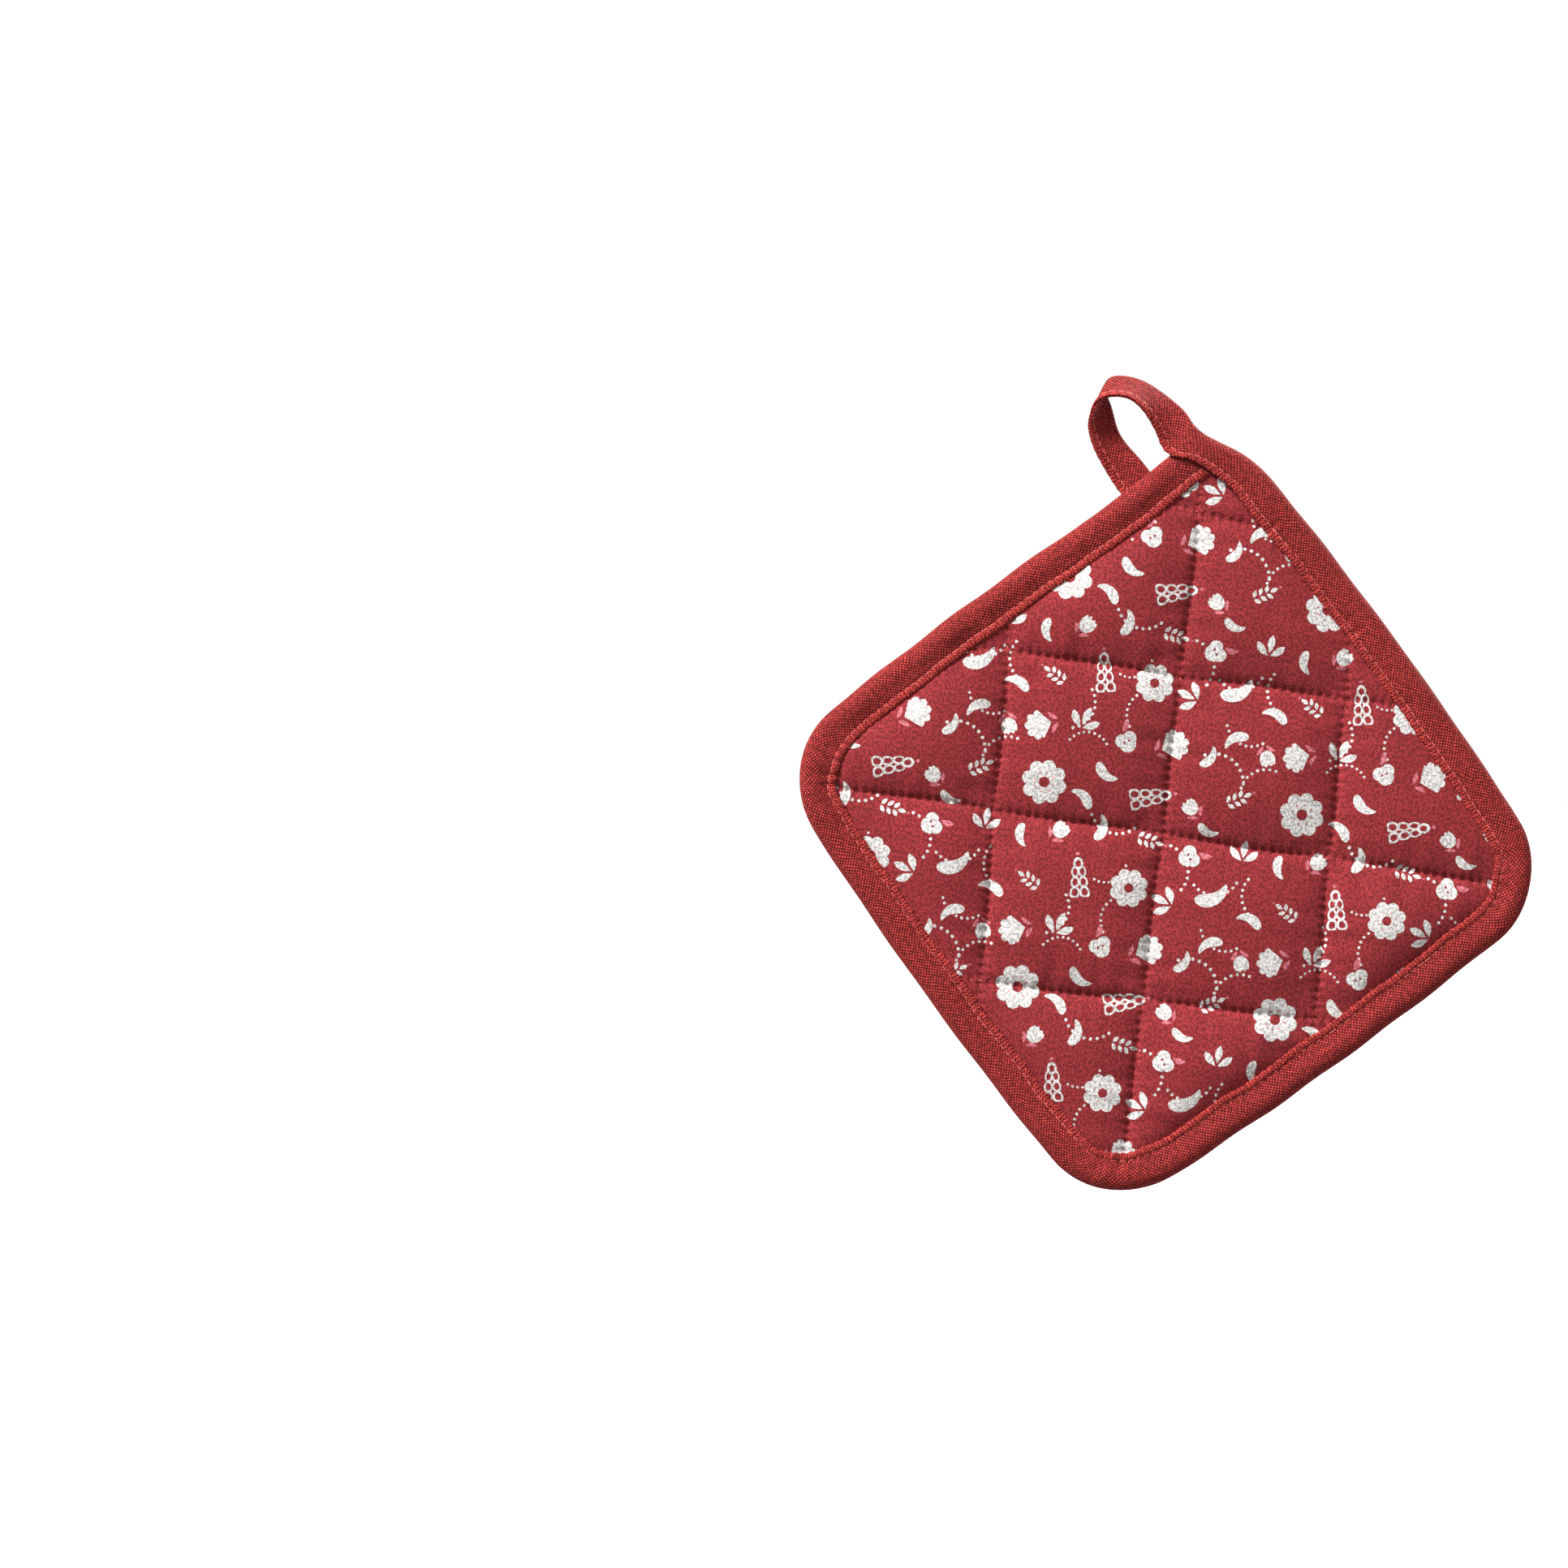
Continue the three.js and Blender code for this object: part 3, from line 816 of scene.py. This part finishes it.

# %% [markdown]
# ## The section of the tape
# Across, the tape has a turned hem at its sewn edge, a groove where the stitching pulls it down,
# and then a full curve to the fold. The back is the same, a little narrower. The corners get small
# pleats, because the hem there has less way to go than the fold. The hem also swells a little
# between the stitches, and an attribute marks it for the ribs in its material, whose colour paints
# shade between the ribs.

# %% Sweeping the section along the route
HEM = [(3.4, -0.10), (0.25, -0.02), (0.0, 0.30), (0.15, 0.82), (0.6, 1.04), (1.6, 1.06), (2.3, 0.94),
       (2.7, 0.52), (3.15, 0.72)]
GROOVE, FOLD_STEPS = 7, 13
ROLL_SHARE, ROLL_MOST, FLATTEST = 1.45, 5.6, 0.2
BACK_NARROWER, TAB_PLACE, TAB_REACH, TAB_PRESS = 0.8, 60, 11, 0.04
HEM_HEIGHT, HEM_OPEN, PLEAT = 0.55, 0.40, 0.25
BEAT_UP, BEAT_ACROSS, BEAT_REACH = 0.12, 0.20, 1.8


def half_section(width, base, full, hem):
    """Places across and through the tape, from the hem's tucked edge to the fold."""
    rows = [(width - back, base + hem * up) for back, up in HEM]
    start, low = width - HEM[-1][0], base + hem * HEM[-1][1]
    roll = np.minimum(ROLL_SHARE * full, ROLL_MOST)
    for step in range(1, FOLD_STEPS + 1):
        away = start * (1 - math.sin(step / FOLD_STEPS * math.pi / 2))
        flat = low + (full - low) * smooth((start - away) / (start - roll), 0, 1)
        curve = full * np.sqrt(np.clip(1 - ((roll - away) / roll) ** 2, 0, 1))
        rows.append((away, np.where(away < roll, curve, flat)))
    spread = [[np.broadcast_to(value, width.shape) for value in row] for row in rows]
    return np.array(spread).transpose(2, 0, 1)


def unit(vectors):
    return vectors / np.linalg.norm(vectors, axis=-1, keepdims=True)


def along_axes(points, axes):
    """The two flat coordinates of points, from the pad's centre."""
    return [np.einsum("ij,j->i", points - PAD_CENTRE, axis) for axis in axes]


def sweep_tape(route, stations):
    """Points of the tape, station by station, with their lengths along and across."""
    fold, sewn = route[:, :3], route[:, 3:6]
    across = unit(sewn - fold)
    through = unit(np.cross(across, unit(np.gradient(fold + sewn, axis=0))))
    width = np.linalg.norm(sewn - fold, axis=-1)
    given = np.clip(route[:, 8], 0, 1)
    opened = np.clip((route[:, 7] - FLAT) / (FULL - FLAT), 0, 1)
    a, b = along_axes(fold, SQUARE_AXES)
    corner = smooth(np.minimum(np.abs(a), np.abs(b)), 66, 84) * (1 - given)
    under_tab = np.exp(-((a - TAB_PLACE) / TAB_REACH) ** 4) * (b > 90) * (1 - given)
    beat = (np.cos(2 * np.pi * stations / STITCH) * (0.4 + 0.6 * opened))[:, None]
    drift = across[:, None] * (opened * 0.3 * waver(stations, 77, 33))[:, None, None]
    halves = []
    for side, seed, cloth_seed in ((-1, 31, FRONT_SEED), (1, 57, BACK_SEED)):
        less = BACK_NARROWER if side > 0 else 0.0
        wide = width - less * opened + opened * (0.35 + 0.5 * corner) * waver(stations, seed, 21)
        hem_spot = fold + across * (wide - 0.8)[:, None]
        cloth = cloth_half(*along_axes(hem_spot, QUILT_AXES), cloth_seed)
        base = cloth * (1 - given) + route[:, 6] * given
        swell = 0.05 * waver(stations, seed + 1, 26) + 0.07 * corner * waver(stations, seed + 2, 7)
        full = route[:, 7] * (1 + opened * swell)
        if side > 0:
            full = full * (1 - TAB_PRESS * under_tab)
        hem = HEM_HEIGHT + HEM_OPEN * opened + PLEAT * corner * waver(stations, seed + 3, 5)
        section = half_section(wide, base, np.maximum(full, FLATTEST), hem)
        row = np.arange(section.shape[1])
        section[:, :, 1] += BEAT_UP * beat * np.exp(-((row - GROOVE) / BEAT_REACH) ** 2)
        section[:, :, 0] += BEAT_ACROSS * beat * np.clip((GROOVE - row) / 2, 0, 1)
        inward, outward = section[:, :, :1], section[:, :, 1:] * side
        halves.append(fold[:, None] + across[:, None] * inward + through[:, None] * outward + drift)
    points = np.concatenate([halves[0], halves[1][:, -2::-1]], axis=1)
    steps = np.linalg.norm(np.diff(points, axis=1), axis=-1)
    from_edge = np.concatenate([np.zeros((len(points), 1)), np.cumsum(steps, axis=1)], axis=1)
    middle = halves[0].shape[1] - 1
    from_fold = from_edge - from_edge[:, middle:middle + 1]
    lengths = np.stack([np.broadcast_to(stations[:, None], from_fold.shape), from_fold + 60], -1)
    return points, lengths, through


SQUARE_AXES = [unit(world_from_square(*spot, 0) - PAD_CENTRE) for spot in ((1, 0), (0, 1))]
QUILT_AXES = [np.array([math.cos(QUILT_LEAN), 0, -math.sin(QUILT_LEAN)]),
              np.array([math.sin(QUILT_LEAN), 0, math.cos(QUILT_LEAN)])]
tape, tape_lengths, tape_through = sweep_tape(route, stations)
SECTION = tape.shape[1]
right, left = along_axes(route[:, :3], SQUARE_AXES)
CUT = int(np.flatnonzero((right > 90) & (left > 52) & (stations > 500))[0])
print("section of", SECTION, "points; the loop's piece starts at", round(float(stations[CUT])), "mm")


def make_tape(name, first, last):
    part = tape[first:last]
    faces = grid_faces(len(part), SECTION)
    piece = make_piece(name, part.reshape(-1, 3), faces, tape_lengths[first:last].reshape(-1, 2), TAPE)
    hem = np.zeros((len(part), SECTION), np.float32)
    hem[:, :GROOVE] = hem[:, SECTION - GROOVE:] = 1.0
    piece.data.attributes.new("hem", "FLOAT", "POINT").data.foreach_set("value", hem.ravel())
    return piece


edge_tape = make_tape("edge_tape", 0, CUT + 1)
loop_tape = make_tape("loop_tape", CUT, len(tape))
for piece in (edge_tape, loop_tape):
    face = piece.data.polygons[SECTION * 3 + SECTION // 4]
    looks = [round(v, 2) for v in face.normal]
    print(piece.name, len(piece.data.polygons), "faces; one in front looks along", looks)

# %% [markdown]
# ## Stitches
# Every seam is a row of short threads that dip into the cloth at both ends. The rows are points
# with a direction along the seam and a direction out of the cloth. A tree of geometry nodes bends
# one thread and puts it on every point, and the result is kept as a plain mesh.

# %% The stitch tree
def build_stitch_tree():
    """A bent thread on every point, turned by the point's directions along and outward."""
    tree = bpy.data.node_groups.new("row_of_stitches", "GeometryNodeTree")
    tree.is_modifier = True
    add_sockets(tree, "INPUT", [
        ("Geometry", "Geometry"), ("Length", "Float", 0.0025), ("Thickness", "Float", 0.0002),
        ("Arch", "Float", 0.0003), ("Unevenness", "Float", 0.1), ("Seed", "Int", 4), ("Thread", "Material")])
    add_sockets(tree, "OUTPUT", [("Geometry", "Geometry")])
    given = wires(tree.nodes.new("NodeGroupInput").outputs)

    def add(kind, values, out=0, **settings):
        node = new_node(tree, kind, **settings)
        fill(node, values)
        return Wire(node.outputs[out])

    half, dip = given["Length"] * 0.5, given["Arch"] * -1.0
    bend = add("GeometryNodeCurveQuadraticBezier", {
        "Resolution": 6, "Start": joined(half * -1.0, 0.0, dip), "Middle": joined(0.0, 0.0, given["Arch"]),
        "End": joined(half, 0.0, dip)})
    radius = given["Thickness"]
    ring = add("GeometryNodeCurvePrimitiveCircle", {"Resolution": 6, "Radius": radius}, mode="RADIUS")
    thread = add("GeometryNodeCurveToMesh", {"Curve": bend, "Profile Curve": ring, "Fill Caps": True})
    along, outward = [
        add("GeometryNodeInputNamedAttribute", {"Name": label}, "Attribute", data_type="FLOAT_VECTOR")
        for label in ("along", "outward")]
    align = "FunctionNodeAlignRotationToVector"
    turn = add(align, {"Vector": along}, axis="X", pivot_axis="AUTO")
    turn = add(align, {"Rotation": turn, "Vector": outward}, axis="Z", pivot_axis="X")
    least, most = 1.0 - given["Unevenness"], given["Unevenness"] + 1.0
    size = new_node(tree, "FunctionNodeRandomValue", (None, None, least, most), data_type="FLOAT")
    connect(given["Seed"], size.inputs["Seed"])
    row = add("GeometryNodeInstanceOnPoints", {
        "Points": given["Geometry"], "Instance": thread, "Rotation": turn, "Scale": Wire(size.outputs[1])})
    for kind in ("GeometryNodeRealizeInstances", "GeometryNodeSetShadeSmooth", "GeometryNodeSetMaterial"):
        row = Wire(new_node(tree, kind, [row]).outputs[0])
    connect(given["Thread"], row.socket.node.inputs["Material"])
    connect(row, tree.nodes.new("NodeGroupOutput").inputs[0])
    return tree


STITCH_TREE = build_stitch_tree()


def sew(name, rows, seed, **inputs):
    """A plain mesh of stitches on rows of (points, along, outward), all in millimetres."""
    points, along, outward = [np.vstack(group) for group in zip(*rows)]
    carrier = bpy.data.meshes.new(name + "_points")
    carrier.from_pydata((points * MM).tolist(), [], [])
    for label, values in (("along", along), ("outward", outward)):
        layer = carrier.attributes.new(label, "FLOAT_VECTOR", "POINT")
        layer.data.foreach_set("vector", values.astype(np.float32).ravel())
    piece = bpy.data.objects.new(name, carrier)
    bpy.context.scene.collection.objects.link(piece)
    modifier = piece.modifiers.new("stitches", "NODES")
    modifier.node_group = STITCH_TREE
    settings = {"Seed": seed, "Thread": THREAD, **inputs}
    for item in STITCH_TREE.interface.items_tree:
        if item.in_out == "INPUT" and item.name in settings:
            modifier[item.identifier] = settings[item.name]
    evaluated = piece.evaluated_get(bpy.context.evaluated_depsgraph_get())
    mesh = bpy.data.meshes.new_from_object(evaluated)
    mesh.name = name
    piece.modifiers.remove(modifier)
    piece.data = mesh
    print(name, len(points), "stitches,", len(mesh.polygons), "faces")
    return piece


def row_on_line(points, outward, lift, pitch=STITCH, margin=1.0):
    """Stitches at even steps along a line of points."""
    lengths = run_length(points)
    wanted = np.arange(margin, lengths[-1] - margin, pitch)
    spots = at_lengths(points, lengths, wanted)
    ahead = at_lengths(unit(np.gradient(points, axis=0)), lengths, wanted)
    out = unit(at_lengths(np.broadcast_to(outward, points.shape), lengths, wanted))
    return spots + out * lift, ahead, out


# %% Rows on the quilting, the tape and the sewn end
def quilt_rows(side, seed):
    """A stitch at every low spot of the puckers along each seam."""
    rows = []
    along = np.arange(-48, 49) * STITCH
    for seams in (CROSS_SEAMS, LONG_SEAMS):
        for seam in seams.values():
            away = seam_line(seam, along)
            h, v = (along, away) if seams is CROSS_SEAMS else (away, along)
            a, b = square_from_quilt(h, v)
            points = world_from_square(a, b, side * cloth_half(h, v, seed))
            ahead = unit(np.gradient(points, axis=0) * np.array([1, 0, 1]))
            keep = edge_distance(a, b) > TOPSTITCH + 1.0
            out = np.broadcast_to(np.array([0.0, side, 0.0]), points.shape)
            rows.append(((points + out * SUNK)[keep], ahead[keep], out[keep]))
    return rows


def tape_row(side, first, last):
    """A row in the groove of the tape: side is -1 for the front and 1 for the back."""
    groove = GROOVE if side < 0 else SECTION - 1 - GROOVE
    return row_on_line(tape[first:last, groove], side * tape_through[first:last], SUNK)


def tack_row(b):
    """A short row straight across the sewn end of the loop, on the back."""
    line = world_from_square(np.linspace(54.6, 65.4, 40), np.full(40, b), TAB_DEPTH + FLAT)
    return row_on_line(line, np.array([0, 1, 0]), 0.15, pitch=2.6, margin=0.6)


SUNK = 0.10
FINE = {"Length": 0.0024, "Thickness": 0.00019, "Arch": 0.00028, "Unevenness": 0.08}
STRONG = {**FINE, "Length": 0.0028, "Thickness": 0.0003}
LOOP_STOP = len(tape) - 4
front_quilting = sew("front_quilting", quilt_rows(-1, FRONT_SEED), 4, **FINE)
back_quilting = sew("back_quilting", quilt_rows(1, BACK_SEED), 5, **FINE)
front_topstitch = sew("front_topstitch", [tape_row(-1, 0, CUT)], 6, **FINE)
back_topstitch = sew("back_topstitch", [tape_row(1, 0, CUT)], 7, **FINE)
loop_topstitch = sew("loop_topstitch", [tape_row(side, CUT, LOOP_STOP) for side in (-1, 1)], 8, **FINE)
loop_tack = sew("loop_tack", [tack_row(b) for b in (90.4, 92.0)], 9, **STRONG)

# %% [markdown]
# ## The pieces in place of the model's parts
# The pad folds along its middle seam and the loop swings at the corner. Each new piece stands in for
# the model's parts that it covers, which are hidden, and the tack at the loop's sewn end is attached
# to the upper half.

# %% The model's parts hidden under the new pieces, and the loop's tack on the upper half
FOLD_BAND, SWING_ABOVE, SWING_BELOW = 13.0, 10.5, 2.5
swing_spot = world_from_square(0.0, 102.5, 0.0)
swing_start = tuple((swing_spot + SQUARE_AXES[1] * SWING_ABOVE) * MM)
swing_end = tuple((swing_spot - SQUARE_AXES[1] * SWING_BELOW) * MM)
HALVES = ("upper", "lower")


def threads(face):
    """The nodes of the quilting on one face, apart from the seam that the pad folds along."""
    cross = ["quilt_cross_{}_{}".format(place, face) for place in CROSS_SEAMS if place != "fold"]
    return cross + halves_of(*["quilt_long_{}_{}".format(place, face) for place in LONG_SEAMS])


def halves_of(*names):
    return [name + "_" + half for name in names for half in HALVES]


for piece, nodes, slot in (
        (front, halves_of("front_panel"), "printed_cotton"),
        (back, halves_of("back_panel"), "plain_cotton"),
        (padding, halves_of("batting"), "batting"),
        (edge_tape, halves_of("edge_binding"), "edge_tape"),
        (front_quilting, threads("front") + ["quilt_cross_fold"], "thread"),
        (back_quilting, threads("back"), "thread"),
        (front_topstitch, halves_of("binding_stitch_front"), "thread"),
        (back_topstitch, halves_of("binding_stitch_back"), "thread")):
    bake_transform(piece)
    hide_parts(*nodes)
for piece, slot in ((loop_tape, "edge_tape"), (loop_topstitch, "thread")):
    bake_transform(piece)
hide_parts("hanging_loop", "loop_end")
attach(loop_tack, "upper_half")
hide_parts("loop_tack_stitch")

# %% The cloths' area against their cut
def flat_area(piece):
    return sum(face.area for face in piece.data.polygons)


CLOTH_SIDE = 2 * (HALF + EDGE_BULGE - CLOTH_INSET) * MM
ROUND_CORNERS = 0.955
CLOTH_CUT = ROUND_CORNERS * CLOTH_SIDE ** 2
for cloth in (front, back):
    print(cloth.name, "area against its cut", round(flat_area(cloth) / CLOTH_CUT, 3))

# %% [markdown]
# ## Light and floor
# The light is a white room: an even glow that is stronger from above, and a broad key light from
# above on the left, which shows the swell of the cells. A weak fill and a light on the back keep
# the other sides clear. The floor is a plain pale plane well below, and throws no light back up.

# %% Floor, key light and glow
REACH, FLOOR_HEIGHT = 60.0, -0.42
floor_mesh = bpy.data.meshes.new("floor")
corners = [(x * REACH, y * REACH, FLOOR_HEIGHT) for x, y in ((-1, -1), (1, -1), (1, 1), (-1, 1))]
floor_mesh.from_pydata(corners, [], [(0, 1, 2, 3)])
floor_mesh.materials.append(new_material("floor", {
    "Base Color": (0.92, 0.92, 0.92, 1), "Roughness": 1.0, "Specular IOR Level": 0.0}))
floor = bpy.data.objects.new("floor", floor_mesh)
floor.visible_diffuse = False
bpy.context.scene.collection.objects.link(floor)


def sun(name, toward, strength, softness):
    light = bpy.data.lights.new(name, "SUN")
    light.energy, light.angle = strength, math.radians(softness)
    lamp = bpy.data.objects.new(name, light)
    pitch = math.acos(-toward[2] / np.linalg.norm(toward))
    lamp.rotation_euler = (pitch, 0, math.atan2(toward[1], toward[0]) - math.pi / 2)
    bpy.context.scene.collection.objects.link(lamp)


sun("key", (0.64, 0.46, -0.80), 8.1, 18)
sun("fill", (-0.5, 1.0, -0.2), 0.7, 60)
sun("back_key", (-0.55, -0.60, -0.75), 5.0, 26)
world = bpy.data.worlds.new("white_room")
world.use_nodes = True
bpy.context.scene.world = world
room = world.node_tree
up = parts_of(Wire(new_node(room, "ShaderNodeTexCoord").outputs["Generated"]))[2]
glow = ramp(up, -0.6, 0.9, 0.17, 0.52)
seen = Wire(new_node(room, "ShaderNodeLightPath").outputs["Is Camera Ray"])
fill(room.nodes["Background"], {"Strength": seen + (1.0 - seen) * glow, "Color": (1, 1, 1, 1)})
bpy.context.scene.view_settings.view_transform = "Standard"
print("light ready")
